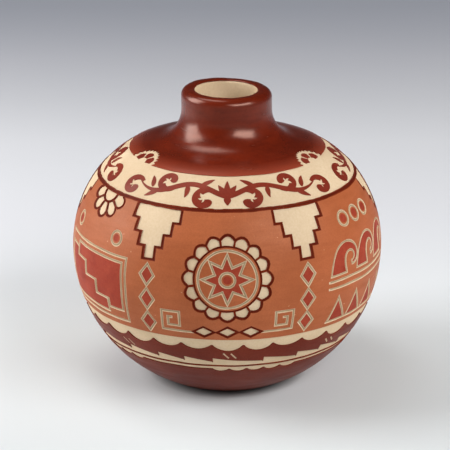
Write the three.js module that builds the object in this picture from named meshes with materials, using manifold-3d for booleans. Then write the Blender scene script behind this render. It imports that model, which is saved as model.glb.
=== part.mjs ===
// Small hand-built pottery jar: a clay wall coiled up into a round body with a short narrow neck, polished
// and covered with coats of coloured slip. Each coat is a thin shell of its own on the clay, and the bare
// clay shows as the pale bands between them. Millimetres, +Z up, origin on the floor, mid foot.
import * as THREE from 'three';
import { mergeVertices } from 'three/addons/utils/BufferGeometryUtils.js';
import Module from 'manifold-3d';

const wasm = await Module();
wasm.setup();

// Driving dimensions of the wall
const bodyDiameter = 102; // widest circle, over the coats
const girdleHeight = 45.2; // floor to the widest circle
const footDiameter = 41.6; // where the wall's arc would meet the floor
const footRound = 12; // rounding between the wall and the flat foot
const upperCentre = 11.6; // from the axis to the centre of the wall's arc above the widest circle
const upperTilt = 43; // degrees that this arc turns through
const shoulderTighter = 10.4; // how much smaller the radius is of the arc that carries on to the neck
const neckDiameter = 29.4;
const neckFlare = 10.3; // hollow curve between shoulder and neck
const neckHeight = 6.8; // upright part of the neck above that curve
const neckWall = 4.6;
const bodyWall = 5;
const lipRound = 2.5; // outer edge of the lip
const mouthRound = 1; // inner edge of the lip

// Coats of slip. Tilt is how far the wall's face looks up (+) or down (-) in degrees, 0 at the widest circle
const coatThickness = 0.3;
const bondGap = 0.02; // between a coat and the clay under it
const coatGap = 0.3; // between two coats side by side
const neckCoatTilt = 63.7; // lower edge of the neck and shoulder coat
const shoulderLineTilt = 39.2; // middle of the dark line
const shoulderLineWidth = 1.3;
const bellyBottomTilt = -19;
const cloudBandTilt = [-21.9, -31.5]; // upper and lower edge of the dark band over the foot
const thinLineTilt = -33.9;
const thinLineWidth = 0.5;
const footCoatTilt = -36; // upper edge of the coat round the foot
const footCoatHeight = 0.5; // its lower edge stays this far off the floor
const coatTurnIn = 50; // degrees that the neck coat turns over the inner edge of the lip

// Ornament cut into the coats
const scallopCount = 30;
const scallopDepth = 2.2;
const scallopTip = 0.5; // flat left on the point between two scallops
const toothHeight = 2.1;
const toothSlack = 0.3; // height of a tooth at its low end
const toothPitches = [12, 12, 21, 15]; // degrees, repeated and stretched to close round the jar
const pendantCount = 6;
const pendantSteps = 4;
const pendantStepHeight = 4.1;
const pendantStepWidth = 2.1; // how much each step draws in on each side
const pendantTipWidth = 2.8;
const pendantEdgeWidth = 0.9; // dark edging round each pendant
const foliageCount = 5; // small scallops in each group on the foot coat
const foliageWidth = 4.3;
const foliageDepth = 1.3;
const foliageGroups = 5;

const segments = 36; // facets round the jar
const tiltStep = 10; // degrees between two rows of the wall
const insideStep = 15;
const cutReach = 2; // how far a cutting tool stands out of the wall and goes into it
const cutOverrun = 1; // how far its outline runs past the edge of the coat that it cuts
const lipShare = 0.55; // most of the neck's wall that the lip's outer rounding may take
const mouthShare = 0.3; // and its inner one
const rowMargin = 0.2; // least share of a row between an edge and the next regular row

const bodyRadius = bodyDiameter / 2;
const neckRadius = neckDiameter / 2;
const footRadius = footDiameter / 2;
const { degToRad, radToDeg } = THREE.MathUtils;

// Arcs of the wall's outer face: centre, radius and the tilt at which each one ends
const upperRadius = bodyRadius - upperCentre;
const shoulderRadius = upperRadius - shoulderTighter;
const lowerRadius = ((bodyRadius - footRadius) ** 2 + girdleHeight ** 2) / (2 * (bodyRadius - footRadius));
const lowerArc = { r: bodyRadius - lowerRadius, z: girdleHeight, radius: lowerRadius, end: 0 };
const footRise = (girdleHeight - footRound) / (lowerRadius - footRound);
const footArc = {
  r: lowerArc.r + (lowerRadius - footRound) * Math.sqrt(1 - footRise ** 2),
  z: footRound,
  radius: footRound,
  end: -radToDeg(Math.asin(footRise)),
};
const upperArc = { r: upperCentre, z: girdleHeight, radius: upperRadius, end: upperTilt };
const shoulderArc = {
  r: upperArc.r + shoulderTighter * Math.cos(degToRad(upperTilt)),
  z: upperArc.z + shoulderTighter * Math.sin(degToRad(upperTilt)),
  radius: shoulderRadius,
  end: 90,
};
const bodyArcs = [footArc, lowerArc, upperArc, shoulderArc];

function arcPoint(arc, depth, tilt) {
  const a = degToRad(tilt);
  const reach = arc.radius - depth;
  return new THREE.Vector2(arc.r + reach * Math.cos(a), arc.z + reach * Math.sin(a));
}

// The point of the wall that looks up by tilt, at a depth under the outer face
function wallPoint(tilt, depth) {
  return arcPoint(bodyArcs.find((arc) => tilt <= arc.end), depth, tilt);
}

// The hollow curve that leaves the shoulder and turns upright at radius neckR, both faces of the wall alike
function flareArc(depth, neckR, radius) {
  const reach = shoulderRadius - depth + radius;
  const tilt = Math.acos((neckR + radius - shoulderArc.r) / reach);
  return { r: neckR + radius, z: shoulderArc.z + reach * Math.sin(tilt), radius, tilt: radToDeg(tilt) };
}

const flare = flareArc(0, neckRadius, neckFlare);
const mouthRadius = neckRadius - neckWall;
const throat = flareArc(bodyWall, mouthRadius, neckFlare + neckWall);
const jarHeight = flare.z + neckHeight;
const lipRadius = Math.min(lipRound, neckWall * lipShare);
const mouthEdge = Math.min(mouthRound, neckWall * mouthShare);
const lipArc = { r: neckRadius - lipRadius, z: jarHeight - lipRadius, radius: lipRadius };
const mouthArc = { r: mouthRadius + mouthEdge, z: jarHeight - coatThickness - mouthEdge, radius: mouthEdge };

// Tilts from one edge to another: both edges, and the regular rows of the wall between them
function rowsBetween(from, to, step = tiltStep) {
  const margin = rowMargin * step;
  const rows = [];
  for (let tilt = Math.ceil((from + margin) / step) * step; tilt < to - margin; tilt += step) rows.push(tilt);
  return [from, ...rows, to];
}

function sweep(from, to, count, at) {
  return Array.from({ length: count + 1 }, (_, i) => at(from + ((to - from) * i) / count));
}

// Flare, neck and lip past the top of the shoulder, at a depth under the outer face, up to a turn over the
// inner edge of the lip
function neckPoints(depth, turnIn) {
  const flarePoint = (tilt) => arcPoint({ ...flare, radius: flare.radius + depth }, 0, tilt + 180);
  return [
    ...sweep(flare.tilt, 0, 4, flarePoint).slice(1),
    ...sweep(0, 90, 3, (tilt) => arcPoint(lipArc, depth, tilt)),
    ...sweep(90, 90 + turnIn, 2, (tilt) => arcPoint(mouthArc, depth - coatThickness, tilt)),
  ];
}

// Edges of every coat from the foot up, which are also rows of the clay under them
const footCoatBottom = -radToDeg(Math.asin((footRound - footCoatHeight) / footRound));
const halfBand = (width, tilt) => radToDeg(width / 2 / bodyArcs.find((arc) => tilt <= arc.end).radius);
const lineEdges = (width, tilt) => [tilt - halfBand(width, tilt), tilt + halfBand(width, tilt)];
const thinLine = lineEdges(thinLineWidth, thinLineTilt);
const shoulderLine = lineEdges(shoulderLineWidth, shoulderLineTilt);
const bellyTopTilt = shoulderLine[0] - 2 * halfBand(coatGap, shoulderLine[0]);
const edges = [
  -90, footCoatBottom, footCoatTilt, ...thinLine, cloudBandTilt[1], cloudBandTilt[0],
  bellyBottomTilt, bellyTopTilt, ...shoulderLine, neckCoatTilt, flare.tilt,
];
const bodyRows = edges.slice(1).flatMap((edge, i) => rowsBetween(edges[i], edge).slice(i ? 1 : 0));

function lathe(points) {
  return new THREE.LatheGeometry(points, segments).rotateX(Math.PI / 2);
}

// The clay: outer face under the coats from the foot to the lip, then the inner face back down to the floor
function clayWall() {
  const inside = rowsBetween(-90, throat.tilt, insideStep).reverse();
  return lathe([
    new THREE.Vector2(0, 0),
    ...bodyRows.map((tilt) => wallPoint(tilt, tilt < footCoatBottom ? 0 : coatThickness)),
    ...neckPoints(coatThickness, 90),
    ...sweep(180, 180 + throat.tilt, 3, (tilt) => arcPoint(throat, 0, tilt)),
    ...inside.slice(1).map((tilt) => wallPoint(tilt, bodyWall)),
    new THREE.Vector2(0, bodyWall),
  ]);
}

// A coat between two edges of the wall; above gives the points that carry it on over the neck
function coat(from, to, above = () => []) {
  const rows = bodyRows.filter((tilt) => tilt >= from && tilt <= to);
  const face = (depth) => [...rows.map((tilt) => wallPoint(tilt, depth)), ...above(depth)];
  const outer = face(0);
  return lathe([...outer, ...face(coatThickness - bondGap).reverse(), outer[0]]);
}

// Joining and cutting
function toSolid(geometry) {
  const bare = geometry.clone();
  bare.deleteAttribute('normal');
  bare.deleteAttribute('uv');
  const merged = mergeVertices(bare, 1e-5);
  const vertProperties = new Float32Array(merged.attributes.position.array);
  const triVerts = new Uint32Array(merged.index.array);
  return new wasm.Manifold(new wasm.Mesh({ numProp: 3, vertProperties, triVerts }));
}

function toGeometry(solid) {
  const { vertProperties, triVerts } = solid.getMesh();
  const geometry = new THREE.BufferGeometry();
  geometry.setAttribute('position', new THREE.BufferAttribute(vertProperties, 3));
  geometry.setIndex(new THREE.BufferAttribute(triVerts, 1));
  return geometry;
}

// A flat outline in millimetres made into a tool that goes square through the wall. x runs round the jar
// from the given angle and y up the wall from the given tilt
function wallTool(shape, angle, tilt) {
  const tool = new THREE.ExtrudeGeometry(shape, { depth: 2 * cutReach, bevelEnabled: false });
  const place = tool.attributes.position;
  const arc = bodyArcs.find((one) => tilt <= one.end);
  const round = wallPoint(tilt, 0).x;
  for (let i = 0; i < place.count; i++) {
    const at = wallPoint(tilt + radToDeg(place.getY(i) / arc.radius), cutReach - place.getZ(i));
    const turn = degToRad(angle) + place.getX(i) / round;
    place.setXYZ(i, at.x * Math.cos(turn), at.x * Math.sin(turn), at.y);
  }
  return toSolid(tool);
}

function outline(points) {
  return new THREE.Shape(points.map(([x, y]) => new THREE.Vector2(x, y)));
}

// A bowl-shaped bite out of an upper edge: an arc of the given width and depth, open above the edge
function bite(width, depth, steps) {
  const radius = (width ** 2 / 4 + depth ** 2) / (2 * depth);
  const half = Math.asin(width / 2 / radius);
  const bowlPoint = (a) => [radius * Math.sin(a), radius - depth - radius * Math.cos(a)];
  const bowl = sweep(-half, half, steps, bowlPoint);
  return outline([[-width / 2, cutOverrun], ...bowl, [width / 2, cutOverrun]]);
}

function cut(geometry, tools) {
  return toGeometry(toSolid(geometry).subtract(wasm.Manifold.union(tools)));
}

// The dark band over the foot: scalloped along the top, saw-toothed along the bottom
function cloudBand() {
  const [top, bottom] = cloudBandTilt;
  const pitch = (2 * Math.PI * wallPoint(top, 0).x) / scallopCount;
  const tools = [];
  for (let i = 0; i < scallopCount; i++) {
    tools.push(wallTool(bite(pitch - scallopTip, scallopDepth, 5), (360 / scallopCount) * i, top));
  }
  const runTurn = toothPitches.reduce((sum, degrees) => sum + degrees, 0);
  const runs = Math.round(360 / runTurn);
  let angle = 0;
  for (let i = 0; i < runs * toothPitches.length; i++) {
    const degrees = (toothPitches[i % toothPitches.length] * 360) / (runs * runTurn);
    const length = degToRad(degrees) * wallPoint(bottom, 0).x - toothSlack;
    const tooth = [[0, -cutOverrun], [length, -cutOverrun], [length, toothSlack], [0, toothHeight]];
    tools.push(wallTool(outline(tooth), angle, bottom));
    angle += degrees;
  }
  return cut(coat(bottom, top), tools);
}

// A terraced pendant that hangs from the shoulder line, drawn grow millimetres larger on every side
function pendantOutline(grow) {
  const right = [];
  for (let i = 0; i < pendantSteps; i++) {
    const half = pendantTipWidth / 2 + pendantStepWidth * (pendantSteps - 1 - i) + grow;
    const top = i ? -pendantStepHeight * i - grow : cutOverrun;
    right.push([half, top], [half, -pendantStepHeight * (i + 1) - grow]);
  }
  return outline([...right, ...right.map(([x, y]) => [-x, y]).reverse()].reverse());
}

function pendantTools(grow) {
  return Array.from({ length: pendantCount }, (_, i) => {
    return wallTool(pendantOutline(grow), (360 / pendantCount) * i, bellyTopTilt);
  });
}

// The coat round the foot, with groups of small scallops in its upper edge
function footCoat() {
  const tools = [];
  const step = radToDeg(foliageWidth / wallPoint(footCoatTilt, 0).x);
  const leaf = bite(foliageWidth - scallopTip, foliageDepth, 4);
  for (let group = 0; group < foliageGroups; group++) {
    for (let i = 0; i < foliageCount; i++) {
      tools.push(wallTool(leaf, (360 / foliageGroups) * group + step * i, footCoatTilt));
    }
  }
  return cut(coat(footCoatBottom, footCoatTilt), tools);
}

// Finishes, one for each clay or slip
const finishes = {
  creamClay: { color: 0xdcc8a3, roughness: 0.85 },
  polishedRed: { color: 0x752618, roughness: 0.28 },
  darkLine: { color: 0x561c06, roughness: 0.45 },
  tanSlip: { color: 0xaa5c38, roughness: 0.6 },
  satinRed: { color: 0x6e342c, roughness: 0.4 },
};
const jar = new THREE.Group();

function addPiece(name, geometry, finish) {
  const material = new THREE.MeshStandardMaterial({ ...finishes[finish], metalness: 0 });
  const piece = new THREE.Mesh(geometry, material);
  piece.name = name;
  jar.add(piece);
}

const windows = pendantTools(0);
const edgings = pendantTools(pendantEdgeWidth);
const bellyCoat = coat(bellyBottomTilt, bellyTopTilt);
addPiece('clay_wall', clayWall(), 'creamClay');
const overNeck = (depth) => neckPoints(depth, coatTurnIn);
addPiece('neck_coat', coat(neckCoatTilt, flare.tilt, overNeck), 'polishedRed');
addPiece('shoulder_line', coat(...shoulderLine), 'darkLine');
addPiece('belly_coat', cut(bellyCoat, pendantTools(pendantEdgeWidth + coatGap)), 'tanSlip');
edgings.forEach((edging, i) => {
  const edge = toSolid(bellyCoat).intersect(edging).subtract(windows[i]);
  addPiece(`pendant_edging_${i + 1}`, toGeometry(edge), 'darkLine');
});
addPiece('cloud_band', cloudBand(), 'satinRed');
addPiece('thin_line', coat(...thinLine), 'darkLine');
addPiece('foot_coat', footCoat(), 'satinRed');

export default jar;
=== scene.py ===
# Small hand-built pottery jar in cream clay, with bands and motifs scraped through its red and tan slip.
# Lengths are millimetres until a mesh is written, where mm turns them to metres.
import math
from collections import Counter

import bmesh
import bpy
import numpy as np
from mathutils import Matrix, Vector, noise
from mathutils.geometry import delaunay_2d_cdt
from mathutils.kdtree import KDTree


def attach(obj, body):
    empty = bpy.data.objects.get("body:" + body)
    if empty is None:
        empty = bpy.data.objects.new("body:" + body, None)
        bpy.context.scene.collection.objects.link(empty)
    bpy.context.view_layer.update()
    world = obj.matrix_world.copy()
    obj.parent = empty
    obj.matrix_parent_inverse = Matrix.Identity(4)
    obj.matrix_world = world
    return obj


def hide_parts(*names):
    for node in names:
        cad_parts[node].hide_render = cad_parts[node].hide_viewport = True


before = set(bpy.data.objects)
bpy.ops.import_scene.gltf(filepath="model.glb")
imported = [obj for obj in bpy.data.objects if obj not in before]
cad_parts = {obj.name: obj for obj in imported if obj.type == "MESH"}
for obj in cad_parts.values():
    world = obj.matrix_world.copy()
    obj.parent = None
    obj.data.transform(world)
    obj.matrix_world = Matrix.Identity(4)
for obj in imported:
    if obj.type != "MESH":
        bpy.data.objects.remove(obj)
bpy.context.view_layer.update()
mm = 0.001
full = 2 * math.pi
front = -math.pi / 2  # the side that the camera sees
touching = 2e-6  # metres; nearer than this, two points of a mesh are one
past = 1  # how far a painted band goes over the edge that cuts it off, mm
noise.seed_set(7)  # any number but 0, so that edges waver the same way in each run

# The wall's outline, as the frame has it
wall = {
    "bodyDiameter": 102.0,
    "girdleHeight": 45.2,  # floor to the widest circle
    "footDiameter": 41.6,  # where the wall's arc would meet the floor
    "footRound": 12.0,
    "upperCentre": 11.6,  # from the axis to the centre of the arc above the widest circle
    "upperTilt": 43.0,
    "shoulderTighter": 10.4,  # how much smaller the radius of the shoulder's arc is
    "neckDiameter": 29.4,
    "neckFlare": 10.3,
    "neckHeight": 6.8,
    "neckWall": 4.6,
    "bodyWall": 5.0,
    "lipRound": 2.5,
    "mouthRound": 1.0,
    "slip": 0.3,  # thickness of a coat of slip
    "bond": 0.12,  # how far a coat's solid goes into the clay, so that no gap shows
    "coatTilt": 63.7,  # how far the wall looks up at the lower edge of the neck's coat
}


def arc(r, z, radius, start, end, side=1):
    # a curved stretch of the outline, from one angle to another; side is -1 where the wall is hollow
    start, end = math.radians(start), math.radians(end)
    return {"r": r, "z": z, "radius": radius, "start": start, "end": end, "side": side,
            "length": radius * abs(end - start)}


def straight(r0, z0, r1, z1):
    return {"ends": (r0, z0, r1, z1), "length": math.hypot(r1 - r0, z1 - z0)}


def outerOutline(w):
    # stretches of the outer face going up from the widest circle, and going down from it
    body, foot, girdle = w["bodyDiameter"] / 2, w["footDiameter"] / 2, w["girdleHeight"]
    lower = ((body - foot) ** 2 + girdle ** 2) / (2 * (body - foot))
    rise = (girdle - w["footRound"]) / (lower - w["footRound"])
    footTilt = -math.degrees(math.asin(rise))
    footMiddle = body - lower + (lower - w["footRound"]) * math.sqrt(1 - rise ** 2)
    upper = body - w["upperCentre"]
    shoulder = upper - w["shoulderTighter"]
    tilt = math.radians(w["upperTilt"])
    shoulderR = w["upperCentre"] + w["shoulderTighter"] * math.cos(tilt)
    shoulderZ = girdle + w["shoulderTighter"] * math.sin(tilt)
    neck, lip, edge = w["neckDiameter"] / 2, w["lipRound"], w["mouthRound"]
    reach = shoulder + w["neckFlare"]
    flareTilt = math.degrees(math.acos((neck + w["neckFlare"] - shoulderR) / reach))
    flareZ = shoulderZ + reach * math.sin(math.radians(flareTilt))
    top = flareZ + w["neckHeight"]
    mouth = neck - w["neckWall"]
    up = [
        arc(w["upperCentre"], girdle, upper, 0, w["upperTilt"]),
        arc(shoulderR, shoulderZ, shoulder, w["upperTilt"], flareTilt),
        arc(neck + w["neckFlare"], flareZ, w["neckFlare"], 180 + flareTilt, 180, -1),
        straight(neck, flareZ, neck, top - lip),
        arc(neck - lip, top - lip, lip, 0, 90),
        straight(neck - lip, top, mouth + edge, top),
        arc(mouth + edge, top - edge, edge, 90, 180),
    ]
    down = [
        arc(body - lower, girdle, lower, 0, footTilt),
        arc(footMiddle, w["footRound"], w["footRound"], footTilt, -90),
    ]
    return up, down


outlineUp, outlineDown = outerOutline(wall)
mouthRadius = wall["neckDiameter"] / 2 - wall["neckWall"]


def lengthOf(stretches):
    return sum(stretch["length"] for stretch in stretches)


flareStart, lipStart, mouthEnd = (lengthOf(outlineUp[:count]) for count in (2, 4, 7))
footEdge = -lengthOf(outlineDown)


def wallAt(along):
    # radius, height and outward direction of the outer face, at a length up (+) or down (-) the wall
    left = abs(along)
    for stretch in outlineUp if along >= 0 else outlineDown:
        if left <= stretch["length"]:
            break
        left -= stretch["length"]
    if "ends" in stretch:
        r0, z0, r1, z1 = stretch["ends"]
        dr, dz = (r1 - r0) / stretch["length"], (z1 - z0) / stretch["length"]
        return r0 + dr * left, z0 + dz * left, dz, -dr
    sign = 1 if stretch["end"] > stretch["start"] else -1
    angle = stretch["start"] + sign * left / stretch["radius"]
    c, s = math.cos(angle), math.sin(angle)
    side = stretch["side"]
    return stretch["r"] + stretch["radius"] * c, stretch["z"] + stretch["radius"] * s, side * c, side * s


def alongAt(tilt):
    # length up the wall to where its face looks up by tilt degrees
    if tilt <= 0:
        return outlineDown[0]["radius"] * math.radians(tilt)
    low, high = outlineUp[:2]
    rest = max(0.0, math.radians(tilt) - low["end"])
    return low["radius"] * (math.radians(tilt) - rest) + high["radius"] * rest


coatEdge = alongAt(wall["coatTilt"])


hand = {
    "swell": 0.1,  # how far the wall stands off a true round, mm
    "ripple": 0.035,  # marks of the scraper and the polishing stone
    "waver": 0.22,  # how far a painted or scraped edge strays
    "waverSize": 8.0,
    "uneven": 0.16,  # how much a drawn line's width changes
    "unevenSize": 2.5,
    "footEnd": 12.0,  # below this height the swell dies away, so that the foot stands flat
    "lean": 0.45,  # how far the neck leans at the lip, mm, from which height and which way
    "leanStart": 77.0,
    "leanTowards": 140.0,
    "dip": 0.3,  # how far the lip rises and dips from level, mm, and how much lower it is made
    "sink": 0.3,
}


def unevenness(turn, z):
    # two slow waves round the jar and two fine ones; their numbers only keep them out of step
    slow = math.sin(2 * turn + 0.6 + z / 60) + 0.6 * math.sin(3 * turn - 1.9 + z / 35)
    fine = math.sin(7 * turn + z / 9) * math.sin(z / 6.5 + 1.3) + 0.7 * math.sin(11 * turn - z / 7 + 2.1)
    fade = min(1.0, max(0.0, z / hand["footEnd"]))
    return fade * (hand["swell"] * slow + hand["ripple"] * fine)


def leaning(place):
    # where a place goes when the neck leans
    start, top = hand["leanStart"], wallAt(mouthEnd)[1]
    share = min(1.0, max(0.0, (place.z - start) / (top - start)))
    towards = math.radians(hand["leanTowards"])
    way = Vector((math.cos(towards), math.sin(towards), 0)) * share * share * (3 - 2 * share)
    rise = place.dot(way) * hand["dip"] * 2 / wall["neckDiameter"] - way.length * hand["sink"]
    return place + way * hand["lean"] + Vector((0, 0, rise))


def onWall(turn, along, height):
    # a point of the finished jar: an angle round it, a length up the wall and a height over its face
    r, z, nr, nz = wallAt(along)
    out = height + unevenness(turn, z)
    r, z = r + nr * out, z + nz * out
    return leaning(Vector((r * math.cos(turn), r * math.sin(turn), z))) * mm


# Materials


def toLinear(code):
    parts = [int(code[i:i + 2], 16) / 255 for i in (1, 3, 5)]
    return [p / 12.92 if p <= 0.04045 else ((p + 0.055) / 1.055) ** 2.4 for p in parts] + [1.0]


def emptyTree(owner):
    # the node tree of a material or a world, with nothing in it
    owner.use_nodes = True
    owner.node_tree.nodes.clear()
    return owner.node_tree


def addNode(tree, kind, inputs=(), **settings):
    # adds a node, sets its properties, and sets or links its inputs, which are named or in their order
    node = tree.nodes.new(kind)
    for name, value in settings.items():
        setattr(node, name, value)
    for name, value in inputs.items() if isinstance(inputs, dict) else enumerate(inputs):
        if isinstance(value, bpy.types.NodeSocket):
            tree.links.new(value, node.inputs[name])
        else:
            node.inputs[name].default_value = value
    return node


def grain(tree, where, size, detail=3.0, stretch=(1, 1, 1)):
    # noise whose largest feature is size millimetres across
    mapped = addNode(tree, "ShaderNodeMapping", {"Vector": where, "Scale": stretch}).outputs[0]
    inputs = {"Vector": mapped, "Scale": 1 / (size * mm), "Detail": detail, "Roughness": mottle["grain"]}
    return addNode(tree, "ShaderNodeTexNoise", inputs).outputs[0]


def lay(tree, under, code, value, span, shares=(0.0, 1.0)):
    # lays a colour over what is under it: its share goes from one to the other as value crosses the span
    share = addNode(tree, "ShaderNodeMapRange", (value, *span, *shares)).outputs[0]
    inputs = {0: share, 6: under, 7: toLinear(code)}  # a mix node keeps its colours in sockets 6 and 7
    return addNode(tree, "ShaderNodeMix", inputs, data_type="RGBA").outputs[2]


mottle = {
    # the span of a pattern's values over which it comes to show
    "cloud": (0.32, 0.68),
    "fleck": (0.35, 0.75),
    "streak": (0.45, 0.75),
    "nick": (0.84, 0.9),
    "gloss": (0.3, 0.7),
    "groove": (0.3, 1.0),
    "nickShare": 0.7,  # how strongly the nicks and the painted sheen along the coat's lower edge show
    "edgeSheenShare": 0.9,
    "grain": 0.55,  # how strong the finer features of a noise are
    "strokes": (0.16, 0.16, 1.0),  # long round the jar
    "ior": 1.5,
}
# What most finishes share: sizes and heights in mm
usual = {"speckle": 0.3, "strokeSize": 1.5, "strokeHeight": 0.012, "glossRange": 0.05, "tint": "#ffc8b0"}


def slipFinish(name, look):
    # clay or slip: mottled colour, fine grain, and strokes of a scraper or a stone round the jar
    look = {**usual, **look}
    material = bpy.data.materials.new(name)
    tree = emptyTree(material)
    where = addNode(tree, "ShaderNodeTexCoord").outputs["Object"]
    cloud = grain(tree, where, look["cloudSize"], 4.0)
    fine = grain(tree, where, look["grainSize"])
    strokes = grain(tree, where, look["strokeSize"], stretch=mottle["strokes"])
    colour = lay(tree, toLinear(look["dark"]), look["light"], cloud, mottle["cloud"])
    colour = lay(tree, colour, look["fleck"], fine, mottle["fleck"], (0.0, look["speckle"]))
    if "streak" in look:
        colour = lay(tree, colour, look["fleck"], strokes, mottle["streak"], (0.0, look["streak"]))
    # painted sheen: a paler colour along the coat's lower edge
    if "edgeSheenColour" in look:
        height = addNode(tree, "ShaderNodeSeparateXYZ", {"Vector": where}).outputs["Z"]
        low = wallAt(coatEdge)[1]
        sheenSpan = (low * mm, (low + look["edgeSheenReach"]) * mm)
        colour = lay(tree, colour, look["edgeSheenColour"], height, sheenSpan, (mottle["edgeSheenShare"], 0.0))
    if "nick" in look:
        pits = grain(tree, where, look["nickSize"], 0.0)
        colour = lay(tree, colour, look["nick"], pits, mottle["nick"], (0.0, mottle["nickShare"]))
    # painted shade: darker colour towards the bottom of a cut, by its depth
    if "grooveShadeColour" in look:
        deep = addNode(tree, "ShaderNodeAttribute", attribute_name="deep").outputs["Fac"]
        colour = lay(tree, colour, look["grooveShadeColour"], deep, mottle["groove"])
    gloss = (look["roughness"] - look["glossRange"], look["roughness"] + look["glossRange"])
    roughness = addNode(tree, "ShaderNodeMapRange", (strokes, *mottle["gloss"], *gloss)).outputs[0]
    normal = None
    for pattern, height in ((fine, "grainHeight"), (strokes, "strokeHeight")):
        inputs = {"Height": pattern, "Distance": look[height] * mm}
        if normal is not None:
            inputs["Normal"] = normal
        normal = addNode(tree, "ShaderNodeBump", inputs).outputs[0]
    shader = addNode(tree, "ShaderNodeBsdfPrincipled", {
        "Base Color": colour, "Roughness": roughness, "IOR": mottle["ior"], "Normal": normal,
        "Specular IOR Level": look["shine"], "Specular Tint": toLinear(look["tint"])})
    addNode(tree, "ShaderNodeOutputMaterial", {"Surface": shader.outputs[0]})
    return material


# Clays and slips, named for what they are
finishes = {
    # bare cream clay, scraped smooth and left matt: chalky, with faint warm mottling
    "creamClay": {
        "slot": "cream_clay", "dark": "#d3b997", "light": "#dfc7a6", "fleck": "#c5a67f", "tint": "#ffffff",
        "speckle": 0.35, "cloudSize": 16, "grainSize": 0.7, "strokeSize": 2.5, "roughness": 0.78,
        "glossRange": 0.06, "shine": 0.3, "grainHeight": 0.02, "strokeHeight": 0.03},
    # iron-red slip rubbed with a smooth stone: deep colour, soft gloss with faint strokes, and the warm
    # gleam of fine iron oxide in the polish; a paler band painted along its lower edge stands for sheen
    "stonePolishedRed": {
        "slot": "polished_red_slip", "dark": "#5f1b0c", "light": "#762510", "fleck": "#451006",
        "tint": "#ffd0bd", "cloudSize": 22, "grainSize": 0.9, "strokeSize": 1.6, "roughness": 0.24,
        "glossRange": 0.04, "shine": 0.7, "grainHeight": 0.004, "strokeHeight": 0.01, "streak": 0.55,
        "edgeSheenColour": "#94402c", "edgeSheenReach": 1.9},
    # the same slip on the shoulder's figures, scraped round and rubbed less: satin
    "figureRed": {
        "slot": "polished_red_slip", "dark": "#74261a", "light": "#8b3626", "fleck": "#55180d",
        "tint": "#ffc8b4", "cloudSize": 12, "grainSize": 0.7, "roughness": 0.4, "glossRange": 0.06,
        "shine": 0.3, "grainHeight": 0.01},
    # tan slip wiped on and lightly rubbed: almost matt, with a fine grain, a faint sheen and pale nicks
    "rubbedTan": {
        "slot": "tan_slip", "dark": "#a0532d", "light": "#b5623a", "fleck": "#8c4524", "tint": "#ffdcc2",
        "speckle": 0.4, "cloudSize": 16, "grainSize": 0.5, "roughness": 0.54, "glossRange": 0.06,
        "shine": 0.5, "grainHeight": 0.024, "streak": 0.25, "nick": "#d9ab82", "nickSize": 1.1},
    # dark iron slip painted in fine lines, with painted shade making it darkest at the bottom of its cut
    # beside the cream
    "darkLine": {
        "slot": "dark_line_slip", "dark": "#641b0a", "light": "#7e2b12", "fleck": "#3e0e05",
        "cloudSize": 5, "grainSize": 0.6, "roughness": 0.58, "shine": 0.15, "grainHeight": 0.015,
        "strokeHeight": 0.01, "grooveShadeColour": "#4c1105"},
    # thin red wash painted inside the scraped outlines, matt
    "redWash": {
        "slot": "satin_red_slip", "dark": "#8f3222", "light": "#a5432e", "fleck": "#762617",
        "tint": "#ffd6c6", "speckle": 0.35, "cloudSize": 6, "grainSize": 0.6, "roughness": 0.6,
        "shine": 0.22, "grainHeight": 0.018},
    # red slip with less rubbing: satin
    "satinRed": {
        "slot": "satin_red_slip", "dark": "#632317", "light": "#783020", "fleck": "#46130c",
        "cloudSize": 20, "grainSize": 0.8, "strokeSize": 1.6, "roughness": 0.42, "glossRange": 0.07,
        "shine": 0.14, "grainHeight": 0.008},
    # clay laid bare by a pointed tool: pale edges, a floor greyed with painted shade, rough with torn
    # grains
    "scrapedClay": {
        "slot": "cream_clay", "dark": "#c8ab8c", "light": "#dcc4a6", "fleck": "#a88a6a", "tint": "#ffffff",
        "speckle": 0.45, "cloudSize": 5, "grainSize": 0.45, "strokeSize": 1.2, "roughness": 0.85,
        "glossRange": 0.04, "shine": 0.25, "grainHeight": 0.03, "strokeHeight": 0.02,
        "grooveShadeColour": "#94805f"},
}
materials = {name: slipFinish(name, look) for name, look in finishes.items()}
print("materials made:", len(materials))


def addObject(name, data):
    thing = bpy.data.objects.new(name, data)
    bpy.context.scene.collection.objects.link(thing)
    return thing


def finishPiece(bm, name, finish, stands=(), sharp=35):
    # turns a bmesh into a named piece that rides on the jar's one body and stands for the given CAD nodes
    mesh = bpy.data.meshes.new(name)
    bm.to_mesh(mesh)
    bm.free()
    mesh.polygons.foreach_set("use_smooth", [True] * len(mesh.polygons))
    mesh.set_sharp_from_angle(angle=math.radians(sharp))
    mesh.materials.append(materials[finish])
    piece = addObject(name, mesh)
    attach(piece, "root")
    if stands:
        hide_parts(*stands)
    print("piece", name, "with", sum(len(face.vertices) - 2 for face in mesh.polygons), "triangles")


# The clay: foot, wall, neck and lip outside, and the scraped inside
clay = {"steps": 240, "row": 1.6, "insideRow": 2.4, "coatStart": 0.8}


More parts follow.
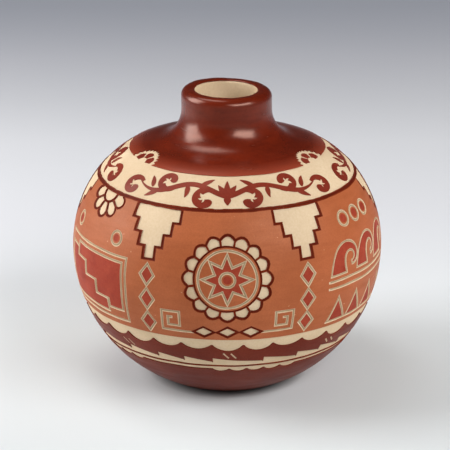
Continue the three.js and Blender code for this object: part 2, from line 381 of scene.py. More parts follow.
def insideOutline(row):
    # the inner face from the mouth down to the floor: a throat, then arcs one wall thickness in
    depth, throat = wall["bodyWall"], wall["neckFlare"] + wall["neckWall"]
    upper, shoulder = outlineUp[:2]
    lower, foot = outlineDown
    middle = mouthRadius + throat
    reach = shoulder["radius"] - depth + throat
    tilt = math.acos((middle - shoulder["r"]) / reach)
    points = []

    def sweep(r, z, radius, start, end):
        count = max(2, round(radius * abs(end - start) / row))
        for i in range(count):
            angle = start + (end - start) * i / count
            points.append((r + radius * math.cos(angle), z + radius * math.sin(angle)))

    sweep(middle, shoulder["z"] + reach * math.sin(tilt), throat, math.pi, math.pi + tilt)
    sweep(shoulder["r"], shoulder["z"], shoulder["radius"] - depth, tilt, shoulder["start"])
    sweep(upper["r"], upper["z"], upper["radius"] - depth, upper["end"], 0.0)
    sweep(lower["r"], lower["z"], lower["radius"] - depth, 0.0, lower["end"])
    sweep(foot["r"], foot["z"], foot["radius"] - depth, foot["start"], foot["end"])
    return points + [(foot["r"], depth), (0.0, depth)]


def makeClay(c):
    count = round((mouthEnd - footEdge) / c["row"])
    outline = [(0.0, 0.0)]
    for i in range(count + 1):
        r, z, nr, nz = wallAt(footEdge + (mouthEnd - footEdge) * i / count)
        sunk = wall["slip"] * min(1.0, max(0.0, z / c["coatStart"]))  # the foot itself is bare
        outline.append((r - nr * sunk, z - nz * sunk))
    outline += insideOutline(c["insideRow"])
    bm = bmesh.new()
    verts = [bm.verts.new((r * mm, 0, z * mm)) for r, z in outline]
    edges = [bm.edges.new(pair) for pair in zip(verts, verts[1:])]
    bmesh.ops.spin(bm, geom=verts + edges, cent=(0, 0, 0), axis=(0, 0, 1), angle=full,
                   steps=c["steps"], use_merge=True)
    bmesh.ops.remove_doubles(bm, verts=bm.verts, dist=touching)
    bmesh.ops.recalc_face_normals(bm, faces=bm.faces)
    for vert in bm.verts:
        r = vert.co.xy.length
        if r > mm:
            push = unevenness(math.atan2(vert.co.y, vert.co.x), vert.co.z / mm) * mm
            vert.co.xy *= 1 + push / r
            vert.co = leaning(vert.co / mm) * mm
    finishPiece(bm, "clay_body", "creamClay", ["clay_wall"])


makeClay(clay)

# Slip laid out flat: x runs round the jar and y up the wall. Shapes are drawn on a sheet in paint order,
# it is cut along their outlines, and each kind of slip is wrapped on to the wall as a piece of its own
slips = {
    # how high the top of each kind of slip stands, and the depth of the groove in a drawn line, mm
    "tan": {"top": 0.0},
    "wash": {"top": -0.06},
    "scraped": {"top": 0.0, "groove": 0.28},
    "edging": {"top": 0.0, "groove": 0.2},
    "ring": {"top": 0.0, "groove": 0.16},
    "neck": {"top": 0.0},
    "figure": {"top": -0.2},
    "cloud": {"top": 0.0},
    "tick": {"top": -0.12},
    "thin": {"top": -0.04},
    "foot": {"top": 0.0},
}
cutting = {
    "column": 1.25,  # spacing of the sheet's own points, and how far they stay off a drawn outline
    "clear": 0.32,
    "longest": 1.2,  # longest straight stretch of an outline
    "sample": 0.2,
    "mitre": 0.45,  # keeps the corner of a drawn line from growing long
    "weld": 1e-5,
    "hair": 0.002,  # places nearer than this are one
    "rim": 0.01,  # nearer than this to the sheet's edge a place doesn't stray
    "seam": 0.001,
}


def finer(points, closed=False, longest=cutting["longest"]):
    # adds points so that no stretch is longer than longest, because a stretch stays straight on the wall
    ends = points[1:] + points[:1] if closed else points[1:]
    out = []
    for (x0, y0), (x1, y1) in zip(points, ends):
        count = max(1, math.ceil(math.hypot(x1 - x0, y1 - y0) / longest))
        out += [(x0 + (x1 - x0) * i / count, y0 + (y1 - y0) * i / count) for i in range(count)]
    return out if closed else out + [points[-1]]


def newDesign():
    return {"shapes": [], "grooves": {}}


def placed(spot, points):
    # spot is the place of a motif on the sheet, and how much wider the sheet is there than the jar
    x, y, widen = spot
    return [(x + px * widen, y + py) for px, py in points]


def paint(design, spot, kind, points):
    design["shapes"].append((kind, finer(placed(spot, points), closed=True)))


def draw(design, spot, kind, points, width, closed=False):
    # a line of slip or a scraped line, mitred at its corners, with its groove along the middle
    line = [Vector(p) for p in finer(points, closed)]
    count = len(line)
    left, right = [], []
    for i, here in enumerate(line):
        before = line[i - 1] if closed or i else None
        after = line[(i + 1) % count] if closed or i < count - 1 else None
        into = (here - before).normalized() if before is not None else (after - here).normalized()
        out = (after - here).normalized() if after is not None else into
        side = Vector((-into.y - out.y, into.x + out.x)).normalized()
        shake = noise.noise(Vector((here.x + spot[0], here.y + spot[1], 0)) / hand["unevenSize"])
        broad = width * (1 + hand["uneven"] * shake)
        reach = side * (broad / 2 / max(cutting["mitre"], side.dot(Vector((-into.y, into.x)))))
        left.append(here + reach)
        right.append(here - reach)
    for i in range(count if closed else count - 1):
        j = (i + 1) % count
        for quad in ((line[i], line[j], left[j], left[i]), (right[i], right[j], line[j], line[i])):
            design["shapes"].append((kind, placed(spot, [tuple(p) for p in quad])))
    deep = [tuple(p) for p in (line if closed else line[1:-1])]
    if len(deep) > 1:
        middle = finer(placed(spot, deep), closed, cutting["sample"])
        design["grooves"].setdefault(kind, []).append((middle, width / 2))


def ribbon(points, widths):
    # the outline of a stroke that swells and tapers along its points
    left, right = [], []
    for i, (x, y) in enumerate(points):
        before, after = points[max(0, i - 1)], points[min(len(points) - 1, i + 1)]
        run, rise = after[0] - before[0], after[1] - before[1]
        share = widths[i] / 2 / math.hypot(run, rise)
        left.append((x - rise * share, y + run * share))
        right.append((x + rise * share, y - run * share))
    return left + right[::-1]


def curl(start, heading, length, bends, steps=24):
    # a line that bends more and more tightly: bends are degrees per millimetre at its start and its end
    x, y = start
    angle = math.radians(heading)
    points = [start]
    for i in range(steps):
        angle += math.radians(bends[0] + (bends[1] - bends[0]) * (i + 0.5) / steps) * length / steps
        x, y = x + math.cos(angle) * length / steps, y + math.sin(angle) * length / steps
        points.append((x, y))
    return points


def treeOf(points):
    tree = KDTree(max(1, len(points)))
    for i, (x, y) in enumerate(points):
        tree.insert((x, y, 0), i)
    tree.balance()
    return tree


def insideRing(x, y, ring):
    # which of the places (x, y) lie inside the ring
    inside = np.zeros(len(x), bool)
    for (x0, y0), (x1, y1) in zip(ring, ring[1:] + ring[:1]):
        if y0 != y1:
            inside ^= ((y0 > y) != (y1 > y)) & (x < x0 + (x1 - x0) * (y - y0) / (y1 - y0))
    return inside


def cutSheet(sheet, design):
    # cuts the sheet along every outline; each triangle takes the kind of the last shape painted over it
    rows, half = sheet["rows"], sheet["width"] / 2
    count = round(sheet["width"] / cutting["column"])
    columns = [-half + sheet["width"] * i / count for i in range(count + 1)]
    border = [(x, rows[0]) for x in columns[:-1]] + [(half, y) for y in rows[:-1]]
    border += [(x, rows[-1]) for x in reversed(columns[1:])] + [(-half, y) for y in reversed(rows[1:])]
    shapes = [(sheet["ground"], border)] + design["shapes"]
    points, edges, drawn = [], [], []
    for number, (_, ring) in enumerate(shapes):
        first, size = len(points), len(ring)
        edges += [(first + i, first + (i + 1) % size) for i in range(size)]
        points += ring
        if number:
            drawn += finer(ring, True, cutting["clear"])
    near = treeOf(drawn)
    for x in columns[1:-1]:
        for y in rows[1:-1]:
            if not drawn or near.find((x, y, 0))[2] > cutting["clear"]:
                points.append((x, y))
    cut = delaunay_2d_cdt([Vector(p) for p in points], edges, [], 0, cutting["weld"])
    places, faces = cut[0], cut[2]
    # places a hair apart become one, and the pairs of triangles that this folds together go
    tree = treeOf([tuple(place) for place in places])
    same = [min(found[1] for found in tree.find_range((p.x, p.y, 0), cutting["hair"])) for p in places]
    faces = [[same[i] for i in face] for face in faces]
    times = Counter(frozenset(face) for face in faces)
    faces = [face for face in faces if len(set(face)) == 3 and times[frozenset(face)] == 1]
    middles = np.array([[tuple(places[i]) for i in face] for face in faces]).mean(axis=1)
    x, y = middles[:, 0], middles[:, 1]
    owner = np.full(len(faces), -1)
    for number, (_, ring) in enumerate(shapes):
        low, high = np.min(ring, axis=0), np.max(ring, axis=0)
        close = np.nonzero((x > low[0]) & (x < high[0]) & (y > low[1]) & (y < high[1]))[0]
        hit = close[insideRing(x[close], y[close], ring)]
        owner[hit[owner[hit] >= 0] if number else hit] = number
    parts = {}
    for face, number in zip(faces, owner):
        if number >= 0:
            parts.setdefault(shapes[number][0], []).append(face)
    print("sheet of", sheet["ground"], "cut into", {kind: len(group) for kind, group in parts.items()})
    return places, parts


def topHeights(points, parts, design):
    # height of each kind's upper face at each of its points: flat, or down into the groove of a drawn line
    rim = {}
    for kind, faces in parts.items():
        if kind in slips and kind not in design["grooves"]:
            for index in {i for face in faces for i in face}:
                rim[index] = min(rim.get(index, 1.0), slips[kind]["top"])
    heights = {}
    for kind, faces in parts.items():
        if kind not in slips:
            continue
        top = slips[kind]["top"]
        heights[kind] = {i: top for face in faces for i in face}
        for half in sorted({half for middle, half in design["grooves"].get(kind, [])}):
            lines = [middle for middle, width in design["grooves"][kind] if width == half]
            tree = treeOf([p for middle in lines for p in middle])
            for index in heights[kind]:
                away = tree.find((points[index].x, points[index].y, 0))[2]
                deep = top - slips[kind]["groove"] * max(0.0, 1 - away / half)
                level = min(top, rim.get(index, top))
                heights[kind][index] = min(heights[kind][index], level, deep)
    return heights


def wander(turn, along):
    # the small strayings of a hand-held tool, the same for every edge that passes a place
    r, z = wallAt(along)[:2]
    here = Vector((r * math.cos(turn), r * math.sin(turn), z)) / hand["waverSize"]
    stray = noise.noise_vector(here) * hand["waver"]
    return turn + stray.x / r, along + stray.y


def wrapSlip(name, finish, sheet, kind, points, parts, heights, stands=()):
    # wraps one kind of slip round the jar as closed solids that reach a little way into the clay
    copies, deep = sheet["copies"], -wall["slip"] - wall["bond"]
    low, high = sheet["rows"][0] + cutting["rim"], sheet["rows"][-1] - cutting["rim"]
    bm = bmesh.new()
    flat = bm.verts.layers.float_vector.new("flat")
    groove = bm.verts.layers.float.new("deep")
    top, depth = slips[kind]["top"], slips[kind].get("groove", 1.0)
    seam = []
    for copy in range(copies):
        made = {}
        for index, height in heights[kind].items():
            x, along = points[index]
            turn = front + full * copy / copies + x / sheet["radius"]
            if low < along < high:
                turn, along = wander(turn, along)
            made[index] = bm.verts.new(onWall(turn, along, height))
            made[index][flat] = (turn, along, height)
            made[index][groove] = (top - height) / depth
            if abs(x) > sheet["width"] / 2 - cutting["seam"]:
                seam.append(made[index])
        for face in parts[kind]:
            bm.faces.new([made[i] for i in face])
    bmesh.ops.remove_doubles(bm, verts=seam, dist=touching)
    new = bmesh.ops.extrude_face_region(bm, geom=bm.faces[:])
    for vert in new["geom"]:
        if isinstance(vert, bmesh.types.BMVert):
            turn, along, height = vert[flat]
            vert.co = onWall(turn, along, deep)
    bm.verts.layers.float_vector.remove(flat)
    bmesh.ops.reverse_faces(bm, faces=bm.faces)  # the copy went inwards, so all faces point into the solid
    finishPiece(bm, name, finish, stands)


def makeSlips(sheet, design, pieces):
    points, parts = cutSheet(sheet, design)
    heights = topHeights(points, parts, design)
    for name, finish, kind, stands in pieces:
        wrapSlip(name, finish, sheet, kind, points, parts, heights, stands)


def rowsFrom(low, high, step=cutting["column"]):
    count = max(1, round((high - low) / step))
    return [low + (high - low) * i / count for i in range(count + 1)]


def circle(x, y, radius, start=0.0, end=360.0, step=0.9):
    # points round a circle or an arc, in degrees; a whole circle leaves its last point out
    turn = math.radians(end - start)
    count = max(8, math.ceil(abs(turn) * radius / step))
    stop = count if abs(turn) >= full - 1e-9 else count + 1
    angles = [math.radians(start) + turn * i / count for i in range(stop)]
    return [(x + radius * math.cos(a), y + radius * math.sin(a)) for a in angles]


def polar(radius, angle):
    return radius * math.cos(angle), radius * math.sin(angle)


def mirrored(points):
    return [(-x, y) for x, y in points]


# Belly: tan slip with scraped pictures, cream pendants and dark edging, up to the line round the shoulder
belly = {
    "bottomTilt": -19.0,
    "lineTilt": 39.2,
    "lineWidth": 1.3,
    "radius": 51.0,
    "scrapeWidth": 0.9,
    "edgeWidth": 0.86,
    "fine": 0.8,  # share of the edging's width that its finer lines have
    "tuck": 0.6,  # how far what hangs from the shoulder's line goes up under it
}
lineMiddle = alongAt(belly["lineTilt"])
lineLow, lineHigh = lineMiddle - belly["lineWidth"] / 2, lineMiddle + belly["lineWidth"] / 2
bellySheet = {
    "ground": "tan", "copies": 2, "radius": belly["radius"], "width": math.pi * belly["radius"],
    "rows": rowsFrom(alongAt(belly["bottomTilt"]), lineLow) + [lineMiddle, lineHigh],
}


def bellySpot(x, y):
    # a place on the belly's sheet, with how much wider the sheet is there than the jar
    return x, y, belly["radius"] / wallAt(y)[0]


def scrape(design, spot, points, share=1.0, closed=True):
    draw(design, spot, "scraped", points, belly["scrapeWidth"] * share, closed)


def edge(design, spot, points, share=1.0, closed=False):
    draw(design, spot, "edging", points, belly["edgeWidth"] * share, closed)


def wash(design, spot, ring, share=1.0):
    # a red wash in a scraped outline
    paint(design, spot, "wash", ring)
    scrape(design, spot, ring, share)


pendant = {
    "steps": 4, "stepHeight": 4.1, "stepWidth": 2.1, "tipWidth": 2.8, "panels": (-1.5, -0.5, 0.5, 1.5),
}


def pendantSide(p, grow):
    # the right-hand side of a terraced pendant, from the shoulder line down, drawn grow larger all round
    side = []
    for i in range(p["steps"]):
        half = p["tipWidth"] / 2 + p["stepWidth"] * (p["steps"] - 1 - i) + grow
        side.append((half, -p["stepHeight"] * i - grow if i else belly["tuck"]))
        side.append((half, -p["stepHeight"] * (i + 1) - grow))
    return side


def drawPendant(design, x):
    spot = bellySpot(x, lineLow)
    side = pendantSide(pendant, belly["edgeWidth"] / 2)
    outline = side + mirrored(side)[::-1]
    paint(design, spot, "cream", outline)
    edge(design, spot, outline)


diamonds = {"heights": (4.4, -3.6, -11.6), "half": 3.5, "slim": 0.72}


def drawDiamonds(design, x, d):
    # red diamonds with scraped outlines, one under another
    for y in d["heights"]:
        spot = bellySpot(x, y)
        half, wide = d["half"], d["half"] * d["slim"]
        ring = [(wide, 0), (0, half), (-wide, 0), (0, -half)]
        wash(design, spot, ring)


ringDot = {
    "inset": 0.95, "step": 0.5,
    # over the stepped pair and over the waves: how far to each side, how high, and the radius
    "stepped": (12.4, 13.2, 2.2),
    "waves": (7.2, 18.6, 2.4),
}


def drawRingDot(design, x, y, radius):
    # a red spot in a scraped ring
    spot = bellySpot(x, y)
    scrape(design, spot, circle(0, 0, radius))
    paint(design, spot, "wash", circle(0, 0, radius - ringDot["inset"], step=ringDot["step"]))


sun = {
    "y": 5.0, "feathers": 16, "outer": 14.3, "tip": 1.5, "inner": 10.6, "ring": 9.3, "featherSteps": 3,
    "starTip": 8.0, "starNotch": 4.3, "points": 8, "hub": 2.3,
}


def drawSun(design, x, s):
    # a sun with a red star in it and a crown of cream feather tips round it
    spot = bellySpot(x, s["y"])
    rim, dividers = [], []
    for i in range(s["feathers"]):
        middle = full * i / s["feathers"]
        for k in range(2 * s["featherSteps"]):
            share = k / s["featherSteps"] - 1
            radius = s["outer"] - s["tip"] * (1 - math.cos(share * math.pi / 2))
            rim.append(polar(radius, middle + share * math.pi / s["feathers"]))
        side = middle + math.pi / s["feathers"]
        dividers.append([polar(s["inner"], side), polar(s["outer"] - s["tip"], side)])
    paint(design, spot, "cream", rim)
    paint(design, spot, "tan", circle(0, 0, s["inner"]))
    for line in dividers:
        edge(design, spot, line, belly["fine"])
    edge(design, spot, rim, closed=True)
    edge(design, spot, circle(0, 0, s["inner"]), belly["fine"], closed=True)
    scrape(design, spot, circle(0, 0, s["ring"]))
    star = []
    for i in range(2 * s["points"]):
        radius = s["starNotch"] if i % 2 else s["starTip"]
        star.append(polar(radius, math.pi * i / s["points"] + math.pi / 2))
    wash(design, spot, star)
    paint(design, spot, "tan", circle(0, 0, s["hub"]))
    drawRingDot(design, x, s["y"], s["hub"])


spiral = {"size": 6.8, "gap": 2.0, "stem": 3.4, "tail": 1.6, "out": 14.6, "y": -13.4}


def drawCornerSpirals(design, x, s):
    # a pair of square spirals, each from its stem inwards
    size, gap = s["size"], s["gap"]
    points = [(-s["stem"], 0), (size, 0), (size, size), (gap / 2, size), (gap / 2, gap),
              (size - gap, gap), (size - gap, size - gap), (gap * s["tail"], size - gap)]
    for side in (1, -1):
        spot = bellySpot(x + side * s["out"], s["y"])
        scrape(design, spot, points if side == 1 else mirrored(points), closed=False)


lozenge = {"count": 3, "width": 6.9, "height": 3.9, "gap": 0.6, "y": -13.2, "edge": 0.85}


def drawLozenges(design, x, z):
    # cream lozenges in a row, each with its dark edging
    spot = bellySpot(x, z["y"])
    wide, tall = z["width"] / 2, z["height"] / 2
    for i in range(z["count"]):
        middle = (i - (z["count"] - 1) / 2) * (z["width"] + z["gap"])
        ring = [(middle + wide, 0), (middle, tall), (middle - wide, 0), (middle, -tall)]
        paint(design, spot, "cream", ring)
        edge(design, spot, ring, z["edge"], closed=True)


halfSun = {"petals": 5, "inner": 3.6, "cusp": 7.0, "petal": 1.9, "petalSteps": 8, "bulge": 0.7}


def drawHalfSun(design, x, s):
    # a cream half-sun of rounded petals that hangs from the shoulder line
    spot = bellySpot(x, lineLow)
    rim = []
    steps = s["petals"] * s["petalSteps"]
    for i in range(steps + 1):
        share = i / steps
        radius = s["cusp"] + s["petal"] * abs(math.sin(math.pi * share * s["petals"])) ** s["bulge"]
        rim.append(polar(radius, math.pi + math.pi * share))
    ends = [(s["cusp"], belly["tuck"]), (-s["cusp"], belly["tuck"])]
    paint(design, spot, "cream", rim + ends)
    edge(design, spot, ends[1:] + rim + ends[:1])
    edge(design, spot, circle(0, 0, s["inner"], 180, 360), belly["fine"])
    for i in range(1, s["petals"]):
        angle = math.pi + math.pi * i / s["petals"]
        edge(design, spot, [polar(s["inner"], angle), polar(s["cusp"], angle)], belly["fine"])


stepped = {"y": -3.0, "width": 33.0, "height": 18.4, "steps": 4, "gap": 1.9, "frame": 1.8}


def drawSteppedPair(design, x, s):
    # two red stepped triangles, one the other turned over, either side of a stepped tan band, in a frame
    spot = bellySpot(x, s["y"])
    wide, tall = s["width"] / 2, s["height"] / 2
    run, rise = (s["width"] - 2 * s["gap"]) / (s["steps"] + 0.5), s["height"] / s["steps"]
    stair = [(-wide, -tall)]
    for i in range(s["steps"]):
        right = wide - 2 * s["gap"] - run * (i + 0.5)
        stair += [(right, -tall + rise * i), (right, -tall + rise * (i + 1))]
    stair = stair[:-1] + [(stair[-1][0], tall - s["gap"]), (-wide, tall - s["gap"])]
    for ring in (stair, [(-px, -py) for px, py in stair]):
        wash(design, spot, ring)
    frameW, frameH = wide + s["frame"], tall + s["frame"]
    scrape(design, spot, [(-frameW, -frameH), (frameW, -frameH), (frameW, frameH), (-frameW, frameH)])


waves = {
    "count": 3, "pitch": 12.4, "length": 20.0, "bends": (-1, -25), "root": 7.0, "tip": 1.3, "taper": 1.4,
    "aside": 1.6, "edge": 0.85, "lines": (-1.8, -4.2), "y": 1.6,
}


def drawWaves(design, x, w):
    # red waves that rise from one line, broad at the foot, and curl over
    spot = bellySpot(x, w["y"])
    across = w["count"] * w["pitch"] / 2
    for i in range(w["count"]):
        start = (i - (w["count"] - 1) / 2) * w["pitch"] - w["aside"]
        line = curl((start, 0.0), 90, w["length"], w["bends"])
        shares = [1 - k / (len(line) - 1) for k in range(len(line))]
        ring = ribbon(line, [w["tip"] + (w["root"] - w["tip"]) * share ** w["taper"] for share in shares])
        wash(design, spot, ring, w["edge"])
    for y in w["lines"]:
        scrape(design, spot, [(-across, y), (across, y)], closed=False)


peaks = {"count": 4, "pitch": 8.8, "height": 8.2, "inset": 0.5, "y": -14.4}


def drawPeaks(design, x, p):
    # red triangles side by side with a scraped outline each
    spot = bellySpot(x, p["y"])
    for i in range(p["count"]):
        cx = (i - (p["count"] - 1) / 2) * p["pitch"]
        left, right = cx - p["pitch"] / 2 + p["inset"], cx + p["pitch"] / 2 - p["inset"]
        ring = [(left, 0), (right, 0), (cx, p["height"])]
        wash(design, spot, ring)


def makeBelly(b):
    design = newDesign()
    panel = bellySheet["width"] / 3
    drawSun(design, 0, sun)
    drawCornerSpirals(design, 0, spiral)
    drawLozenges(design, 0, lozenge)
    drawHalfSun(design, -panel, halfSun)
    drawSteppedPair(design, -panel, stepped)
    drawWaves(design, panel, waves)
    drawPeaks(design, panel, peaks)
    for side in (-1, 1):
        for middle, dots in ((-panel, "stepped"), (panel, "waves")):
            aside, height, radius = ringDot[dots]
            drawRingDot(design, middle + side * aside, height, radius)
    drawRingDot(design, panel, *ringDot["waves"][1:])
    for i in pendant["panels"]:
        drawPendant(design, panel * i)
        drawDiamonds(design, panel * i, diamonds)
    end = bellySheet["width"] / 2 + past
    # bare clay above the ring's middle, so that no tan shows where the ring is narrow
    bare = [(-end, 0), (end, 0), (end, 2 * past), (-end, 2 * past)]
    paint(design, (0, lineMiddle, 1.0), "cream", bare)
    draw(design, (0, lineMiddle, 1.0), "ring", [(-end, 0), (end, 0)], b["lineWidth"])
    makeSlips(bellySheet, design, [
        ("belly_slip", "rubbedTan", "tan", ["belly_coat"]),
        ("red_washes", "redWash", "wash", []),
        ("scraped_lines", "scrapedClay", "scraped", []),
        ("dark_edgings", "darkLine", "edging", [f"pendant_edging_{i}" for i in range(1, 7)]),
        ("shoulder_ring", "darkLine", "ring", ["shoulder_line"]),
    ])


makeBelly(belly)

# Shoulder: a cream band with a vine in dark red, and the polished red coat over neck and lip
shoulder = {
    "radius": 37.5,
    "units": 3,
    "turnIn": 55,  # degrees that the coat turns over the inner edge of the lip
    "neckRow": 0.8,
    "lipRow": 0.35,
}
coatEnd = mouthEnd - wall["mouthRound"] * math.radians(90 - shoulder["turnIn"])
shoulderSheet = {
    "ground": "neck", "copies": shoulder["units"], "radius": shoulder["radius"],
    "width": full * shoulder["radius"] / shoulder["units"],
    "rows": (rowsFrom(lineHigh, flareStart)[:-1] + rowsFrom(flareStart, lipStart, shoulder["neckRow"])[:-1]
             + rowsFrom(lipStart, coatEnd, shoulder["lipRow"])),
}
# A vine: one half of a unit, which the other half mirrors. Places are measured from the unit's middle and
# up from the ring. A line has its start, heading in degrees, length, and degrees of bend per mm at its ends
vine = {
    "stem": {"end": 31.0, "middle": 6.2, "crest": 2.1, "wave": 26.5, "phase": -62, "width": 1.8,
             "endWidth": 0.1, "taper": 3, "steps": 50},
    "hooks": (
        ((3.4, 5.9), 32, 13.6, (-8, -35)),
        ((17.3, 5.9), -34, 13.8, (11, 35)),
        ((29.4, 6.2), 30, 12.8, (-8, -40)),
    ),
    "hookRoot": 0.9, "hookWidth": 3.1, "hookSteps": 40,
    "swellEnd": 0.7,  # the share of its length where a hook is full width, and where it starts to close
    "blunt": 0.86,
    "bluntWidth": 0.25,
    "teeth": 3, "toothDepth": 0.42, "toothSpan": (0.42, 0.94),
    "leaflets": (
        ((9.0, 7.9), 150, 5.4, (-4, 6)),
        ((13.2, 7.8), -105, 4.6, (4, 8)),
        ((22.3, 4.4), -32, 5.0, (-6, 6)),
        ((25.0, 5.0), 75, 4.6, (-4, -10)),
    ),
    "leafletWidth": 1.4, "leafletRoot": 0.25, "leafletBulge": 0.75, "leafletSteps": 14,
    "bud": ((0, 4.3), (54, 90, 126, 270), (5.2, 6.0, 5.2, 3.0), 1.9),
}
fan = {
    "radius": 5.9, "teeth": 12, "tooth": 1.0, "drop": 0.1, "petals": (-60, 0, 60), "halfSpread": 24,
    "petalStart": 2.0, "petalEnd": 4.9, "petalRound": 0.6, "petalSteps": 4,
}


def paintFigure(design, points):
    paint(design, (0, lineHigh, 1.0), "figure", points)


def drawStem(design, s, side):
    line, widths = [], []
    for k in range(s["steps"] + 1):
        x = s["end"] * k / s["steps"]
        swing = math.sin(full * x / s["wave"] + math.radians(s["phase"]))
        line.append((side * x, s["middle"] + s["crest"] * swing))
        widths.append(s["width"] * min(1.0, s["endWidth"] + s["taper"] * (1 - k / s["steps"])))
    paintFigure(design, ribbon(line, widths))


def drawHook(design, v, side, hook):
    # a leaf that swells, curls over to a blunt end, and has teeth along its hollow edge
    steps, blunt = v["hookSteps"], v["blunt"]
    start, heading, length, bends = hook
    points = curl(start, heading, length, bends, steps)
    first, last = v["toothSpan"]
    hollow, outer = [], []
    for k, (x, y) in enumerate(points):
        share = k / steps
        swell = math.sin(math.pi / 2 * min(1.0, share / v["swellEnd"]))
        wide = v["hookRoot"] + (v["hookWidth"] - v["hookRoot"]) * swell
        if share > blunt:
            closing = math.sqrt(1 - ((share - blunt) / (1 - blunt)) ** 2)
            wide *= v["bluntWidth"] + (1 - v["bluntWidth"]) * closing
        before, after = Vector(points[max(0, k - 1)]), Vector(points[min(steps, k + 1)])
        run = (after - before).normalized()
        inwards = Vector((-run.y, run.x)) * (1 if bends[1] > 0 else -1)
        notch = 0.0
        if first < share < last:
            notch = v["toothDepth"] * wide * (1 - (share - first) / (last - first) * v["teeth"] % 1)
        hollow.append(Vector((x, y)) + inwards * (wide / 2 - notch))
        outer.append(Vector((x, y)) - inwards * (wide / 2))
    paintFigure(design, [(side * p.x, p.y) for p in hollow + outer[::-1]])


def drawLeaflet(design, v, side, start, heading, length, bends, width):
    steps = v["leafletSteps"]
    points = [(side * x, y) for x, y in curl(start, heading, length, bends, steps)]
    swells = [math.sin(math.pi * (k / steps) ** v["leafletBulge"]) for k in range(steps + 1)]
    widths = [v["leafletRoot"] + width * swell for swell in swells]
    paintFigure(design, ribbon(points, widths))


def drawVine(design, v):
    for side in (1, -1):
        drawStem(design, v["stem"], side)
        for hook in v["hooks"]:
            drawHook(design, v, side, hook)
        for leaflet in v["leaflets"]:
            drawLeaflet(design, v, side, *leaflet, v["leafletWidth"])
    start, headings, lengths, width = v["bud"]
    for heading, length in zip(headings, lengths):
        drawLeaflet(design, v, 1, start, heading, length, (0, 0), width)


def fanRow(angles, radii):
    return [(r * math.sin(math.radians(a)), r * math.cos(math.radians(a))) for a, r in zip(angles, radii)]


def drawFan(design, x, f):
    # a half-round notched fan scraped up into the polished coat, with dark petals in it
    spot = (x, coatEdge - f["drop"], shoulder["radius"] / wallAt(coatEdge)[0])
    count = 2 * f["teeth"]
    angles = [-90 + 180 * i / count for i in range(count + 1)]
    radii = [f["radius"] + f["tooth"] * (i % 2) for i in range(count + 1)]
    paint(design, spot, "cream", fanRow(angles, radii))
    shares = [k / f["petalSteps"] - 1 for k in range(2 * f["petalSteps"] + 1)]
    radii = [f["petalEnd"] - f["petalRound"] * (1 - math.cos(share * math.pi / 2)) for share in shares]
    for petal in f["petals"]:
        angles = [petal + share * f["halfSpread"] for share in shares]
        inner = fanRow(angles, [f["petalStart"]] * len(angles))
        paint(design, spot, "figure", fanRow(angles, radii) + inner[::-1])


def makeShoulder():
    design = newDesign()
    width, low = shoulderSheet["width"], lineHigh - past
    band = [(-width, low), (width, low), (width, coatEdge), (-width, coatEdge)]
    paint(design, (0, 0, 1.0), "cream", band)
    for side in (1, -1):
        drawFan(design, side * width / 2, fan)
    drawVine(design, vine)
    makeSlips(shoulderSheet, design, [
        ("neck_slip", "stonePolishedRed", "neck", ["neck_coat"]),
        ("shoulder_scrolls", "figureRed", "figure", []),
    ])


makeShoulder()

# Foot: the scalloped dark band with its ticks and saw-tooth edge, the thin line, and the lowest coat
foot = {
    "radius": 44.0,
    "bandTilts": (-31.5, -21.9),
    "scallops": 30, "scallopDepth": 2.3, "scallopTip": 0.5, "scallopStart": 6,
    "widthStray": 0.4, "depthStray": 0.35,  # each scallop is cut by eye
    "toothPitches": (12, 12, 21, 15), "toothHeight": 2.1, "toothSlack": 0.3,
    "ticks": 8, "tickLength": 3.0, "tickWidth": 0.62, "tickLean": 38, "tickApart": 2.4,
    "tickStart": -89, "tickDrop": 0.6,
    "lineTilt": -33.9, "lineWidth": 0.5,
    "coatTilt": -36.0, "coatBottom": 0.5,
    "leafGroups": 5, "leaves": 5, "leafWidth": 5.6, "leafDepth": 1.3, "leafStart": 51,
}
bandLow, bandHigh = (alongAt(tilt) for tilt in foot["bandTilts"])
footLine, footTop = alongAt(foot["lineTilt"]), alongAt(foot["coatTilt"])
footCurve = math.acos((wall["footRound"] - foot["coatBottom"]) / wall["footRound"])
footLow = footEdge + wall["footRound"] * footCurve
footSheet = {
    "ground": "cream", "copies": 1, "radius": foot["radius"], "width": full * foot["radius"],
    "rows": rowsFrom(footLow, bandHigh),
}


def footSpots(degrees, y):
    # a place by its angle on the jar, repeated a turn either way so that the sheet's ends match
    turn = (math.radians(degrees) - front + math.pi) % full - math.pi
    widen = foot["radius"] / wallAt(y)[0]
    return [((turn + full * lap) * foot["radius"], y, widen) for lap in (-1, 0, 1)]


def bite(width, depth, steps=9):
    # a bowl-shaped bite out of an upper edge
    radius = (width ** 2 / 4 + depth ** 2) / (2 * depth)
    half = math.asin(width / 2 / radius)
    angles = [-half + 2 * half * i / steps for i in range(steps + 1)]
    bowl = [(radius * math.sin(a), radius - depth - radius * math.cos(a)) for a in angles]
    return [(-width / 2, past)] + bowl + [(width / 2, past)]


